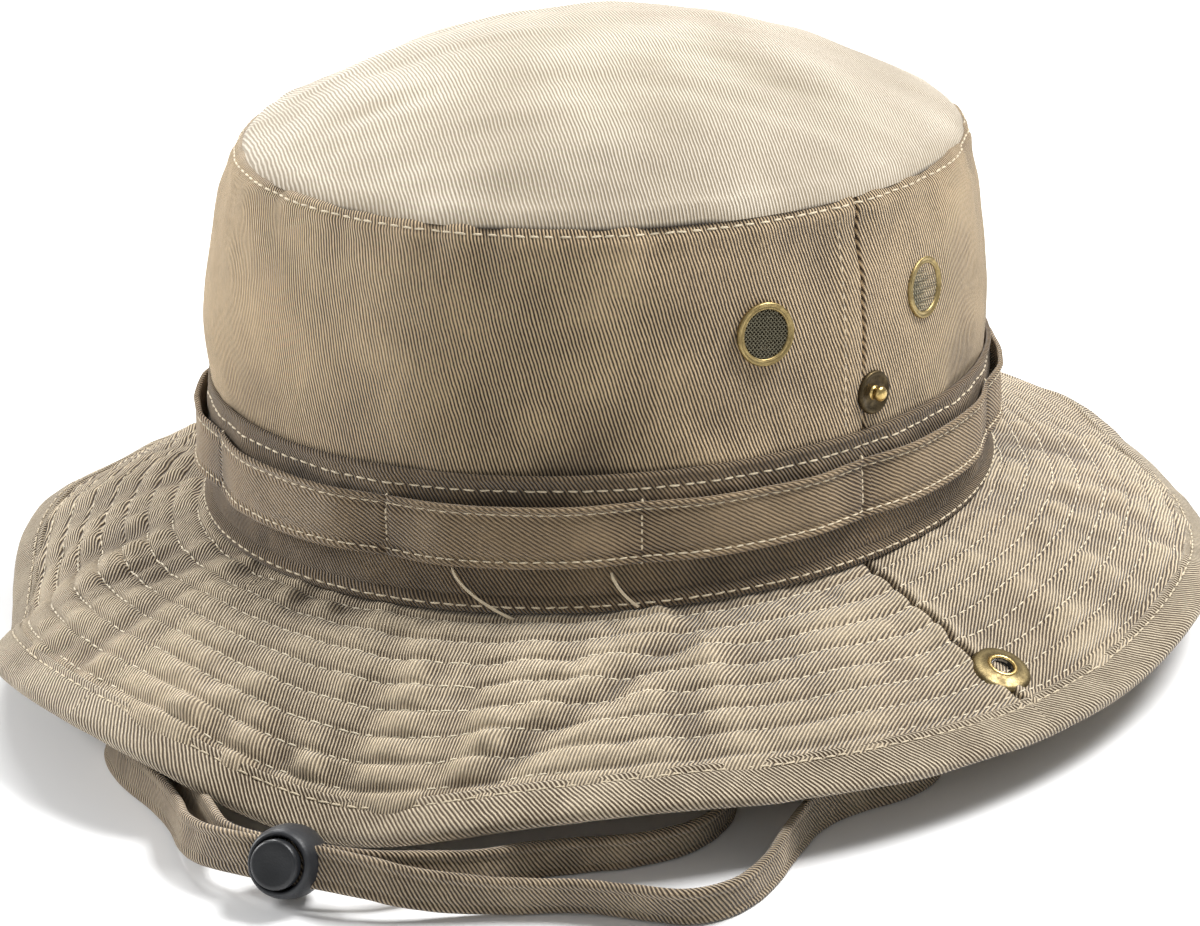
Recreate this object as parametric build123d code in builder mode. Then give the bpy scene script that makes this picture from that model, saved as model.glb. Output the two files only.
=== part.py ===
"""Boonie hat: a cotton crown and quilted brim with snap-up sides, mesh vents, a loop band and a chin strap.

Millimetres. The origin is the centre of the head opening, in the plane of the seam between crown and brim.
The front of the hat faces -Y, the wearer's left is +X and up is +Z.
"""
from build123d import *
from math import asin, atan2, ceil, cos, degrees, hypot, radians, sin, sqrt, tan
import os

# --- head opening and crown -------------------------------------------------------------------------
HEAD_X, HEAD_Y = 85.0, 100.0            # half width and half length of the crown at the brim seam
CROWN_H = 85.0                          # height of the crown's side panels
CROWN_TAPER_X, CROWN_TAPER_Y = 5.0, 11.0  # how far the wall leans in by the top seam
DOME_H = 24.0                           # rise of the top panel over the top seam
TWILL = 1.6                             # thickness of a lined crown panel
GAP = 0.2                               # air between two nested layers of cloth

# --- bands ------------------------------------------------------------------------------------------
HATBAND = (1.6, 31.0)                   # lower and upper edge of the outer hatband
BAND_THICK = 1.2
LOOP_TAPE = (11.0, 25.0)                # lower and upper edge of the tape that makes the loops
SWEATBAND = (1.0, 32.0)
SWEATBAND_THICK = 1.4
SEAM_TAPE_WIDTH, SEAM_TAPE_THICK = 10.0, 0.6

# --- brim -------------------------------------------------------------------------------------------
BRIM_WIDTH = 62.0
BRIM_SLOPE = 21.5                       # degrees below level
BRIM_DROP = 1.3                         # the brim's middle layer starts this far under the seam plane
BRIM_HALF = 1.05                        # half the thickness of the two quilted layers
BINDING_REACH, BINDING_PROUD = 9.0, 0.9  # how far the edge binding reaches in, and stands over the brim
FOLD_X, FOLD_Z = 88.3, -0.5             # the line, along Y, about which each side of the brim folds up
FOLD_GAP = 0.3                          # clearance each side of the fold line

# --- snaps and vents --------------------------------------------------------------------------------
SNAP_Y, STUD_Z = 3.0, 39.0
STUD_R, STUD_LENGTH, FLANGE_H = 1.8, 3.6, 1.0
SOCKET_R, SOCKET_H, SOCKET_HOLE_R = 6.5, 2.4, 2.4
VENT_Z = 58.4
VENT_Y = {"front": -27.0, "back": 23.0}
VENT_R, VENT_HOLE_R, BARREL_R = 7.0, 4.9, 5.3

# --- chin strap and cord lock -----------------------------------------------------------------------
STRAP_R = 1.1                           # radius of the plain tube that stands for the flat strap
STRAND_APART = 1.3                      # each strand's distance from the middle of the lock
LOCK_CENTRE = (70.0, -154.0, -28.3)
LOCK_HEADING, LOCK_TILT = 27.0, 20.0    # degrees: strap direction from +X, and lift of the button's axis
SLOT_SPARE = 0.9                        # room over and under the strands in the lock
LOCK_R, LOCK_BACK, LOCK_FRONT = 8.6, -9.5, 7.5
BUTTON_R, BUTTON_TRAVEL = 6.4, 2.9

SLOPE_COS, SLOPE_SIN = cos(radians(BRIM_SLOPE)), sin(radians(BRIM_SLOPE))
LEFT, RIGHT = ("left", 1), ("right", -1)
FRONT, BACK = ("front", -1), ("back", 1)


def wall(height, grow=0.0):
    """Half width and half length of the crown's outer wall at a height, grown by an offset."""
    share = (height / CROWN_H) ** 2
    return HEAD_X - CROWN_TAPER_X * share + grow, HEAD_Y - CROWN_TAPER_Y * share + grow


def wall_plane(side, y, height, grow=0.0):
    """A plane on the crown's wall, with its normal outward, at the given y and height."""
    half_x, half_y = wall(height)
    x = half_x * sqrt(1 - (y / half_y) ** 2)
    lean = 2 * height / CROWN_H**2
    rise = lean * (CROWN_TAPER_X * x**2 / half_x**3 + CROWN_TAPER_Y * y**2 / half_y**3)
    normal = Vector(side * x / half_x**2, y / half_y**2, rise).normalized()
    return Plane(origin=Vector(side * x, y, height) + normal * grow, x_dir=(0, 0, 1), z_dir=normal)


def crown_ring(bottom, top, inner, outer):
    """A ring that follows the crown's wall between two heights and two offsets from the outer wall."""
    steps = max(2, ceil((top - bottom) / 22))
    heights = [bottom + (top - bottom) * i / steps for i in range(steps + 1)]
    with BuildPart() as ring:
        for grow, mode in ((outer, Mode.ADD), (inner, Mode.SUBTRACT)):
            for height in heights:
                with BuildSketch(Plane.XY.offset(height)):
                    Ellipse(*wall(height, grow))
            loft(mode=mode)
    return ring.part


def brim_ellipse(reach):
    """Half width and half length of the brim's outline at a reach from the seam, and its height."""
    level = reach * SLOPE_COS
    return HEAD_X + level, HEAD_Y + level, -BRIM_DROP - reach * SLOPE_SIN


def brim_sheet(inner, outer, upper, lower):
    """A sloping ring of the brim between two reaches, and two heights from its middle layer."""
    spare = 5.0
    with BuildPart() as sheet:
        for lift, mode in ((upper, Mode.ADD), (lower, Mode.SUBTRACT)):
            for reach in (outer + spare, inner - spare):
                half_x, half_y, height = brim_ellipse(reach)
                with BuildSketch(Plane.XY.offset(height + lift)):
                    Ellipse(half_x, half_y)
            loft(ruled=True, mode=mode)
        for reach, mode in ((outer, Mode.INTERSECT), (inner, Mode.SUBTRACT)):
            half_x, half_y, _ = brim_ellipse(reach)
            with BuildSketch(Plane.XY.offset(-60)):
                Ellipse(half_x, half_y)
            extrude(amount=90, mode=mode)
    return sheet.part


def save(part, name):
    part.label = name
    export_step(part, f"parts/{name}.step")


def ring_on(plane, bottom, height, outer, hole=0.0, mode=Mode.ADD):
    """A disc, or a ring if it has a hole, on a plane. It joins the part that is being built."""
    with BuildSketch(plane.offset(bottom)) as disc:
        Circle(outer)
        if hole:
            Circle(hole, mode=Mode.SUBTRACT)
    extrude(to_extrude=disc.sketch, amount=height, mode=mode)


def stud_plane(side, grow=0.0):
    return wall_plane(side, SNAP_Y, STUD_Z, grow)


def vent_planes():
    for side_name, side in (LEFT, RIGHT):
        for end_name, y in VENT_Y.items():
            yield f"{side_name}_{end_name}", wall_plane(side, y, VENT_Z)


# The socket lies as far from the fold line as the stud does, so that they meet when the brim is up.
MEETING = stud_plane(1, 0.1 + FLANGE_H + 0.2 + SOCKET_H).origin
SNAP_RADIUS = hypot(MEETING.X - FOLD_X, MEETING.Z - FOLD_Z)
SOCKET_BASE = BRIM_HALF * SLOPE_COS + 0.05      # the socket's base over the brim's middle layer
MIDDLE_BELOW_FOLD = (FOLD_X - HEAD_X) * SLOPE_SIN + (FOLD_Z + BRIM_DROP) * SLOPE_COS
SOCKET_ALONG = sqrt(SNAP_RADIUS**2 - (MIDDLE_BELOW_FOLD - SOCKET_BASE) ** 2)
SOCKET_REACH = SOCKET_ALONG + (FOLD_X - HEAD_X) * SLOPE_COS - (FOLD_Z + BRIM_DROP) * SLOPE_SIN
REST_ANGLE = -BRIM_SLOPE - degrees(asin((MIDDLE_BELOW_FOLD - SOCKET_BASE) / SNAP_RADIUS))
FOLD_RANGE = degrees(atan2(MEETING.Z - FOLD_Z, MEETING.X - FOLD_X)) - REST_ANGLE


def socket_plane(side, lift):
    """A plane on the brim at the snap, with its normal up and out, lifted off the middle layer."""
    normal = Vector(side * SLOPE_SIN, 0, SLOPE_COS)
    middle = Vector(
        side * (HEAD_X + SOCKET_REACH * SLOPE_COS), SNAP_Y, -BRIM_DROP - SOCKET_REACH * SLOPE_SIN
    )
    return Plane(origin=middle + normal * lift, x_dir=(0, 1, 0), z_dir=normal)


def make_crown():
    """Two side panels, joined at the wearer's sides, and the domed top panel, with tape over the seams."""
    shell = crown_ring(0, CROWN_H, -TWILL, 0)
    for name, end in (FRONT, BACK):
        with BuildPart() as panel:
            add(shell)
            with Locations((0, end * 100, 40)):
                Box(400, 200, 200, mode=Mode.INTERSECT)
            for _, plane in vent_planes():
                ring_on(plane, -5, 10, BARREL_R + 0.1, mode=Mode.SUBTRACT)
            for side in (1, -1):
                ring_on(stud_plane(side), -5, 10, 1.3, mode=Mode.SUBTRACT)
        save(panel.part, f"crown_panel_{name}")

    top_x, top_y = wall(CROWN_H)
    with BuildPart() as top:
        for skin, mode in ((0.0, Mode.ADD), (TWILL, Mode.SUBTRACT)):
            for share in (1.0, 0.94, 0.84, 0.68, 0.45, 0.15):
                height = CROWN_H + DOME_H * (1 - share**2.2) - skin
                with BuildSketch(Plane.XY.offset(height)):
                    Ellipse(top_x * share - skin, top_y * share - skin)
            loft(mode=mode)
    save(top.part, "crown_top_panel")

    tape_in, tape_out = -TWILL - GAP - SEAM_TAPE_THICK, -TWILL - GAP
    save(crown_ring(CROWN_H - 8, CROWN_H - 0.5, tape_in, tape_out), "top_seam_tape")
    tape = crown_ring(SWEATBAND[1] + 0.6, CROWN_H - 8.4, tape_in, tape_out)
    for name, side in (LEFT, RIGHT):
        with BuildPart() as strip:
            add(tape)
            with Locations((side * 80, 0, 50)):
                Box(60, SEAM_TAPE_WIDTH, 120, mode=Mode.INTERSECT)
            ring_on(stud_plane(side), -5, 10, 1.3, mode=Mode.SUBTRACT)
        save(strip.part, f"side_seam_tape_{name}")


def make_bands():
    save(crown_ring(*HATBAND, GAP, GAP + BAND_THICK), "hatband")
    save(crown_ring(*LOOP_TAPE, GAP + BAND_THICK + 0.1, GAP + BAND_THICK + 1.1), "loop_tape")
    band_out = -TWILL - GAP
    save(crown_ring(*SWEATBAND, band_out - SWEATBAND_THICK, band_out), "sweatband")
    with BuildPart() as welt:
        with BuildSketch(Plane.XY.offset(-BRIM_DROP - BRIM_HALF)):
            Ellipse(HEAD_X - 0.1, HEAD_Y - 0.1)
            Ellipse(HEAD_X - 2.0, HEAD_Y - 2.0, mode=Mode.SUBTRACT)
        extrude(amount=BRIM_DROP + BRIM_HALF)
    save(welt.part, "brim_seam_welt")


def make_brim():
    """Two quilted layers and the edge binding, each cut at the fold lines into a middle and two sides."""
    binding_half = BRIM_HALF + BINDING_PROUD
    with BuildPart() as binding:
        add(brim_sheet(BRIM_WIDTH - BINDING_REACH, BRIM_WIDTH + 1, binding_half, -binding_half))
        add(
            brim_sheet(BRIM_WIDTH - BINDING_REACH - 2, BRIM_WIDTH, BRIM_HALF + 0.1, -BRIM_HALF - 0.1),
            mode=Mode.SUBTRACT,
        )
    sheets = {
        "brim_upper": brim_sheet(0, BRIM_WIDTH - GAP, BRIM_HALF, 0.05),
        "brim_lower": brim_sheet(0, BRIM_WIDTH - GAP, -0.05, -BRIM_HALF),
        "brim_binding": binding.part,
    }
    middle_x = FOLD_X - FOLD_GAP
    for sheet_name, sheet in sheets.items():
        for name, end in (FRONT, BACK):
            with BuildPart() as half:
                add(sheet)
                with Locations((0, end * 150, 0)):
                    Box(2 * middle_x, 300, 200, mode=Mode.INTERSECT)
            save(half.part, f"{sheet_name}_{name}")
        for name, side in (LEFT, RIGHT):
            with BuildPart() as flap:
                add(sheet)
                with Locations((side * (FOLD_X + FOLD_GAP + 100), 0, 0)):
                    Box(200, 400, 200, mode=Mode.INTERSECT)
                ring_on(socket_plane(side, 0), -5, 10, 3.0, mode=Mode.SUBTRACT)
            save(flap.part, f"{sheet_name}_{name}")


def make_snaps():
    for name, side in (LEFT, RIGHT):
        outside = stud_plane(side, 0.1)
        with BuildPart() as stud:
            ring_on(outside, 0, FLANGE_H, 4.2)
            ring_on(outside, FLANGE_H, STUD_LENGTH - FLANGE_H, 1.3)
            ring_on(outside, STUD_LENGTH - 1.5, 1.5, STUD_R)
            fillet(stud.faces().sort_by(Axis(outside.origin, outside.z_dir))[-1].edges(), 0.6)
        save(stud.part, f"snap_stud_{name}")

        # The post is set through the cloth from inside, and its foot bears on the seam tape.
        foot = -TWILL - GAP - SEAM_TAPE_THICK - 0.45
        with BuildPart() as post:
            ring_on(outside, foot - 0.8, 0.8, 4.5)
            ring_on(outside, foot, -foot, 1.15)
        save(post.part, f"snap_post_{name}")

        top = socket_plane(side, SOCKET_BASE)
        with BuildPart() as socket:
            ring_on(top, 0, SOCKET_H - 0.6, SOCKET_R)
            chamfer(socket.faces().sort_by(Axis(top.origin, top.z_dir))[-1].edges(), 0.7)
            ring_on(top, SOCKET_H - 0.7, 0.7, 3.5)
            ring_on(top, -1, 5, SOCKET_HOLE_R, mode=Mode.SUBTRACT)
            ring_on(top, 0.5, 1.0, 3.3, mode=Mode.SUBTRACT)
        save(socket.part, f"snap_socket_{name}")

        with BuildPart() as spring:
            ring_on(top, 0.7, 0.5, 3.1, SOCKET_HOLE_R + 0.05)
            with Locations(top.offset(1.0)):
                with Locations((3, 0)):
                    Box(4, 1.2, 3, mode=Mode.SUBTRACT)
        save(spring.part, f"socket_spring_{name}")

        under = socket_plane(side, -SOCKET_BASE - 0.2)
        with BuildPart() as cap:
            ring_on(under, -0.9, 0.9, SOCKET_R)
            fillet(cap.faces().sort_by(Axis(under.origin, under.z_dir))[0].edges(), 0.5)
            ring_on(under, 0, 2 * SOCKET_BASE + 0.15, 2.85, SOCKET_HOLE_R)
        save(cap.part, f"snap_cap_{name}")


def make_vents():
    """An eyelet, a disc of wire mesh and a washer for each of the four vents."""
    proud = 0.15
    inside = -TWILL - 1.15
    for name, plane in vent_planes():
        with BuildPart() as eyelet:
            ring_on(plane, proud, 1.1, VENT_R, VENT_HOLE_R)
            fillet(eyelet.edges().filter_by(GeomType.CIRCLE).group_by(Axis(plane.origin, plane.z_dir))[-1], 0.4)
            ring_on(plane, inside, proud - inside, BARREL_R, VENT_HOLE_R)
        save(eyelet.part, f"vent_eyelet_{name}")
        with BuildPart() as mesh:
            ring_on(plane, proud + 0.1, 0.5, VENT_HOLE_R)
        save(mesh.part, f"vent_mesh_{name}")
        with BuildPart() as washer:
            ring_on(plane, inside, 0.6, VENT_R, BARREL_R + 0.05)
        save(washer.part, f"vent_washer_{name}")


def lock_plane():
    heading, tilt = radians(LOCK_HEADING), radians(LOCK_TILT)
    along = (cos(heading), sin(heading), 0)
    button = (sin(heading) * cos(tilt), -cos(heading) * cos(tilt), sin(tilt))
    return Plane(origin=LOCK_CENTRE, x_dir=along, z_dir=button)


def make_cord_lock():
    """A barrel with a cross slot, a spring-loaded button whose stem has its own slot, and the spring."""
    lock = lock_plane()
    recess_floor = LOCK_FRONT - BUTTON_TRAVEL - 0.3
    strands = STRAND_APART + STRAP_R + SLOT_SPARE
    stem_floor, cavity_floor = -strands - 1.2, LOCK_BACK + 1.3
    with BuildPart() as body:
        ring_on(lock, LOCK_BACK, LOCK_FRONT - LOCK_BACK, LOCK_R)
        ends = body.faces().sort_by(Axis(lock.origin, lock.z_dir))
        fillet(ends[0].edges(), 5.5)
        fillet(body.faces().sort_by(Axis(lock.origin, lock.z_dir))[-1].edges(), 1.5)
        ring_on(lock, recess_floor, 10, BUTTON_R + 0.25, mode=Mode.SUBTRACT)
        ring_on(lock, cavity_floor, 20, 5.7, mode=Mode.SUBTRACT)
        with BuildSketch(lock.offset(-strands)):
            Rectangle(30, 8.8)
        extrude(amount=2 * strands, mode=Mode.SUBTRACT)
    save(body.part, "cord_lock_body")

    with BuildPart() as button:
        ring_on(lock, stem_floor, LOCK_FRONT - 0.2 - stem_floor, 5.4)
        ring_on(lock, LOCK_FRONT - 0.2, 2.6, BUTTON_R)
        fillet(button.faces().sort_by(Axis(lock.origin, lock.z_dir))[-1].edges(), 0.7)
        with BuildSketch(lock.offset(-strands + 0.05)):
            Rectangle(30, 8.4)
        extrude(amount=2 * strands + BUTTON_TRAVEL, mode=Mode.SUBTRACT)
    save(button.part, "cord_lock_button")

    wire, turns = 0.3, 3
    height = stem_floor - cavity_floor - 2 * wire - 0.1
    start = lock.offset(cavity_floor + wire + 0.05).origin
    with BuildPart() as spring:
        with BuildLine():
            path = Helix(height / turns, height, 4.2, center=start, direction=lock.z_dir)
        with BuildSketch(Plane(origin=path @ 0, z_dir=path % 0)):
            Circle(wire)
        sweep(path=path, is_frenet=True)
    save(spring.part, "cord_lock_spring")


def lock_point(along, across):
    """A point on a strand beside the middle of the lock."""
    lock = lock_plane()
    return tuple(lock.origin + lock.x_dir * along + lock.z_dir * across)


# The strap's route, from its left anchor through the lock, round its end loop, and back to the right one.
TAB_X = 80.2                            # the middle of each strap tab
TAB_FOOT = -4.0
ROUTE = [
    (TAB_X, 0, TAB_FOOT), (TAB_X, 0, -12), (83, 0.5, -20.5), (91, 0, -27.5), (102, -1, -31.5),
    (115, -5, -33), (123, -15, -33), (124.5, -27, -33), (121, -39, -33), (121, -52, -33),
    (127, -65, -33), (133.5, -78, -33), (137.5, -91, -33), (133.5, -103, -33), (123.5, -108.5, -33),
    (114.5, -115, -33), (106, -124.5, -33), (100, -132.5, -32), (93.5, -141, -30.3),
    lock_point(14.5, STRAND_APART), lock_point(-14.5, STRAND_APART), (43.5, -160.8, -30.3), (31, -154, -31.6),
    (18, -150, -32.4), (4, -147.5, -33), (-8, -143.5, -33), (-18, -135, -33), (-21, -124, -33),
    (-14.5, -116, -33), (-4, -118.5, -33), (1, -128.5, -33), (7, -138.5, -33), (19, -145, -32.4),
    (31, -148.5, -31.4), (43.5, -154, -29.8),
    lock_point(-14.5, -STRAND_APART), lock_point(14.5, -STRAND_APART), (89, -134, -30.6), (94, -123, -32.2),
    (96.5, -111.5, -33), (102.5, -101.5, -33), (109.5, -91, -33), (112.5, -78, -33), (108.5, -64, -33),
    (98, -53, -33), (81, -45, -33), (58, -38, -33), (30, -33, -33), (0, -28.5, -33), (-28, -21, -33),
    (-50, -12.5, -32.5), (-66, -4.5, -30), (-76, -0.5, -23), (-TAB_X, 0, -13.5), (-TAB_X, 0, TAB_FOOT),
]


def make_strap():
    points = [Vector(*point) for point in ROUTE]
    radii = []
    for before, corner, after in zip(points, points[1:], points[2:]):
        turn = (corner - before).get_angle(after - corner)
        shorter = min((corner - before).length, (after - corner).length)
        radii.append(0.45 * shorter / tan(radians(turn / 2)))
    print("strap bends, mm:", [round(radius, 1) for radius in radii])
    with BuildPart() as strap:
        with BuildLine():
            path = FilletPolyline(*points, radius=radii)
        with BuildSketch(Plane(origin=path @ 0, z_dir=path % 0)):
            Circle(STRAP_R)
        sweep(path=path)
    length = path.length
    section = 3.14159265 * STRAP_R**2
    print("strap length", round(length, 1), "volume over section times length", strap.part.volume / section / length)
    save(strap.part, "chin_strap")
    for name, side in (LEFT, RIGHT):
        with BuildPart() as tab:
            with Locations((side * TAB_X, 0, TAB_FOOT + 8)):
                Box(2.4, 10, 16)
        save(tab.part, f"strap_tab_{name}")


if __name__ == "__main__":
    os.makedirs("parts", exist_ok=True)
    make_crown()
    make_bands()
    make_brim()
    make_snaps()
    make_vents()
    make_cord_lock()
    make_strap()
    print("socket reach", round(SOCKET_REACH, 2), "fold range", round(FOLD_RANGE, 2))
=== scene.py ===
"""Looks for the boonie hat: quilted cotton, brass fittings and a tape chin strap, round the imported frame.

The row frame has its origin at the centre of the head opening, -Y to the front and +X to the wearer's left.
Shapes are worked out in millimetres and turned into metres as each mesh is made.
An azimuth is measured round the hat from the front, towards the wearer's left.
"""
import math

import bmesh
import bpy
import numpy as np
from mathutils import Matrix, Vector


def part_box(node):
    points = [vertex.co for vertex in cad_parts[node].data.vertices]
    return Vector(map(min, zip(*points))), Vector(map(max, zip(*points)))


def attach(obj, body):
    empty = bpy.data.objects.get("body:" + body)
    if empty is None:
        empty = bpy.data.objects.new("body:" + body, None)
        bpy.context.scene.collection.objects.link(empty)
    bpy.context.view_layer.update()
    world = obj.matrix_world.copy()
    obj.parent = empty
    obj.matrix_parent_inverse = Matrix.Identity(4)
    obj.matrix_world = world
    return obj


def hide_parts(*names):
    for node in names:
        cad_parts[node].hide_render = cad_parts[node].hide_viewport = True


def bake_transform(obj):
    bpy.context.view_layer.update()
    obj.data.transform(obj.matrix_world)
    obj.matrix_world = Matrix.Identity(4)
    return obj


MM = 0.001
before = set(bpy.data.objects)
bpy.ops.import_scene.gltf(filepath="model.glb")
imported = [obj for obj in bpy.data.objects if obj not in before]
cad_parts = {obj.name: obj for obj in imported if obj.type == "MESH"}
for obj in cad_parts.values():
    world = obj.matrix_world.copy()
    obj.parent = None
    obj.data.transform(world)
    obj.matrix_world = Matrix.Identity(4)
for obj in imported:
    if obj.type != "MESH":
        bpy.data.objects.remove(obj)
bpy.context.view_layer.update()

# --- sizes, in millimetres ---
HEAD_X, HEAD_Y = 85.0, 100.0
CROWN_H, TAPER_X, TAPER_Y, DOME_H = 85.0, 5.0, 11.0, 24.0
BRIM_WIDTH, BINDING_START, BRIM_DROP, BRIM_HALF = 62.0, 52.0, 1.3, 1.0
ROWS = [4.5 + 6.5 * i for i in range(8)]            # the quilting rows, as reaches from the crown
BAND_TOP, BAND_STITCH, BASE_STITCH = 31.0, 27.6, 2.6
TAPE_LOW, TAPE_HIGH = 11.0, 25.0
TACKS = (88.7, 56, 21, -16.7, -52, -85, -121, -158, 163, 125)    # azimuths of the loop tape's tacks
SEAM_R, TOP_R, FAN_R = 92.0, 82.0, 84.0             # mean radii of the wall, the top, and the brim laid flat
FAN = 1.12                                          # how much further the brim opens when it is laid flat
NEXT_CUT = 1.7                                      # shifts a piece's cloth, by the column where it starts
SIDES = (("left", 1), ("right", -1))
SNAP_Y, STUD_Z, VENT_Z = 3.0, 39.0, 58.4
VENT_Y = {"front": -27.0, "back": 23.0}
BRIM_ANGLE = 21.5                                   # the brim's slope at the snaps, in degrees
FLOOR_Z = -37.6

COLUMNS = 960                                       # steps round the hat, from the right seam
QUARTER = COLUMNS // 4
EVEN = np.linspace(-90, 270, COLUMNS + 1)[:, None]
FROM_SEAM = EVEN % 180 - 90
PHI = np.radians(EVEN - 0.6 * FROM_SEAM * np.exp(-((FROM_SEAM / 6) ** 2)))    # crowded at the side seams
FRONT_PANEL, BACK_PANEL = (0, 2 * QUARTER), (2 * QUARTER, 4 * QUARTER)
LEFT_HALF = [(QUARTER, 2 * QUARTER), (2 * QUARTER, 3 * QUARTER)]
RIGHT_HALF = [(3 * QUARTER, 4 * QUARTER), (0, QUARTER)]

LATTICE = np.random.default_rng(11).uniform(-1, 1, (1024, 64))


# --- noise and surfaces ---
def stacked(*parts):
    """Arrays of x, y and z, or of u, v and painted relief shade, as one array of points."""
    return np.stack(np.broadcast_arrays(*parts), axis=-1)


def lumps(x, y, seed, around=None):
    """Smooth noise from -1 to 1, one lump a unit. It repeats after `around` lumps in x, if that is given."""
    x, y = np.broadcast_arrays(x, y)
    x0, y0 = np.floor(x).astype(int), np.floor(y).astype(int)
    fx, fy = x - x0, y - y0
    fx, fy = fx * fx * (3 - 2 * fx), fy * fy * (3 - 2 * fy)

    def at(i, j):
        return LATTICE[((i % around if around else i) + 37 * seed) % 1024, (j + 11 * seed) % 64]

    low = at(x0, y0) * (1 - fx) + at(x0 + 1, y0) * fx
    high = at(x0, y0 + 1) * (1 - fx) + at(x0 + 1, y0 + 1) * fx
    return low * (1 - fy) + high * fy


def ripple(phi, count, across, seed):
    """Noise round the hat, with a whole number of lumps in a turn."""
    return lumps((phi + np.pi / 2) / (2 * np.pi) * count, across, seed, count)


def bump(distance, width):
    return np.exp(-((distance / width) ** 2))


def smooth(value, start, end):
    t = np.clip((value - start) / (end - start), 0, 1)
    return t * t * (3 - 2 * t)


def angle_off(phi, degrees):
    """Signed angle from an azimuth, in degrees."""
    return (np.degrees(phi) - degrees + 180) % 360 - 180


def side_distance(phi):
    """Distance round the crown from the nearer side seam, negative on its front side."""
    left, right = angle_off(phi, 90), angle_off(phi, -90)
    return np.radians(np.where(np.abs(left) < np.abs(right), left, -right)) * SEAM_R


def wall_point(phi, height, out):
    """A point on the crown's wall, pushed out along the wall's normal."""
    share = np.clip(height / CROWN_H, 0, 1.2) ** 2
    half_x, half_y = HEAD_X - TAPER_X * share, HEAD_Y - TAPER_Y * share
    x, y = half_x * np.sin(phi), -half_y * np.cos(phi)
    nx, ny = np.sin(phi) / half_x, -np.cos(phi) / half_y
    nz = 2 * np.clip(height, 0, None) / CROWN_H**2 * (
        TAPER_X * np.sin(phi) ** 2 / half_x + TAPER_Y * np.cos(phi) ** 2 / half_y
    )
    size = np.sqrt(nx**2 + ny**2 + nz**2)
    return stacked(x + nx / size * out, y + ny / size * out, height + nz / size * out)


def fittings_calm(phi, height):
    """0 at the vents and studs, where the cloth is held flat, and 1 away from them."""
    y = -HEAD_Y * np.cos(phi)
    near = np.zeros(np.broadcast(phi, height).shape)
    for at_y, at_z, spread in (*((vent_y, VENT_Z, 11) for vent_y in VENT_Y.values()), (SNAP_Y, STUD_Z, 9)):
        near = np.maximum(near, bump(np.hypot(y - at_y, height - at_z), spread))
    return 1 - near


def wall_relief(phi, height):
    """How far the crown's cloth stands out from its plain shape."""
    side = side_distance(phi)
    below_top, over_band = CROWN_H - height, height - BAND_TOP
    soft = 1.0 * ripple(phi, 13, height / 34 + 3, 1) + 0.5 * ripple(phi, 31, height / 19, 2)
    soft = soft + 0.5 * ripple(phi, 44, height / 9 + phi * 3, 3)
    pucker = 0.95 * ripple(phi, 88, height / 13, 4) * np.exp(-below_top / 9)
    pucker = pucker + 0.35 * ripple(phi, 76, height / 11, 5) * np.exp(-np.clip(over_band, 0, None) / 6)
    seam = -1.5 * bump(side, 0.45) + 0.35 * smooth(side, -7.0, -6.0) * smooth(side, 0.2, -0.6)
    seam = seam - 0.25 * bump(side + 5.6, 0.5)
    seam = seam + 0.3 * ripple(phi, 9, height / 5.5, 6) * bump(side + 2, 6)
    ridge = 0.45 * bump(below_top - 3.6, 2.2) - 0.3 * bump(below_top - 2.2, 0.5)
    bulge = 3.6 * bump(angle_off(phi, -43), 42) + 1.2 * bump(angle_off(phi, 128), 30)
    bulge = bulge * smooth(height, 24, 46) * smooth(below_top, -1, 13) ** 0.7
    relief = (soft * smooth(below_top, -2, 12) + pucker + seam) * fittings_calm(phi, height)
    return relief + bulge + ridge - 1.5 * np.exp(-below_top / 0.7)


def crown_wall(phi, height):
    return wall_point(phi, height, wall_relief(phi, height))


def top_point(phi, share, drop=0.0):
    """A point on the domed top, by its share of the way from the centre to the seam."""
    half_x, half_y = (HEAD_X - TAPER_X) * share, (HEAD_Y - TAPER_Y) * share
    x, y = half_x * np.sin(phi), -half_y * np.cos(phi)
    inside = (1 - share) * TOP_R
    z = CROWN_H + DOME_H * (1 - share**2.2) - drop
    relief = 1.1 * lumps(x / 38 + 7, y / 26 + 3, 8) + 0.5 * lumps(x / 15, y / 13, 9)
    relief = relief + 0.55 * lumps((x - y) / 9, (x + y) / 34, 10)
    relief = relief * smooth(inside, 0, 16)
    relief = relief + 0.75 * ripple(phi, 84, inside / 12, 12) * np.exp(-inside / 8) * smooth(inside, 0, 3)
    relief = relief + 0.5 * bump(inside - 3.0, 2.0) - 1.0 * np.exp(-inside / 0.8)
    return stacked(x, y, z + relief)


# The brim droops and rises as it goes round: (azimuth, extra slope in degrees, half width in degrees).
BRIM_SLOPE = 19.5
LOBES = (
    (-35, 14.5, 14), (-72, 4, 14), (0, -2.5, 10), (27, 13, 12), (57, -2, 12),
    (117, -3, 13), (147, 3.5, 14), (-127, 8, 15), (-165, -3, 13), (176, -1.5, 12),
)


def beside_snaps(phi, width=17):
    """1 at the wearer's sides, where the snaps are and the brim is straight, and 0 away from them."""
    return bump(angle_off(phi, 90), width) + bump(angle_off(phi, -90), width)


def brim_slope(phi):
    slope = BRIM_SLOPE
    for azimuth, extra, width in LOBES:
        slope = slope + extra * bump(angle_off(phi, azimuth), width)
    calm = beside_snaps(phi)
    return slope * (1 - calm) + BRIM_ANGLE * calm


def brim_profile(phi, reach):
    """The brim's middle layer: how far out and how far down it is at a reach, and its slope there."""
    slope = np.radians(brim_slope(phi))
    bend = slope * 1.1 * (1.001 - beside_snaps(phi)) / BRIM_WIDTH
    start = slope - bend * BRIM_WIDTH / 2
    angle = start + bend * reach
    out = (np.sin(angle) - np.sin(start)) / bend
    down = (np.cos(start) - np.cos(angle)) / bend
    return out, down, angle


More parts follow.
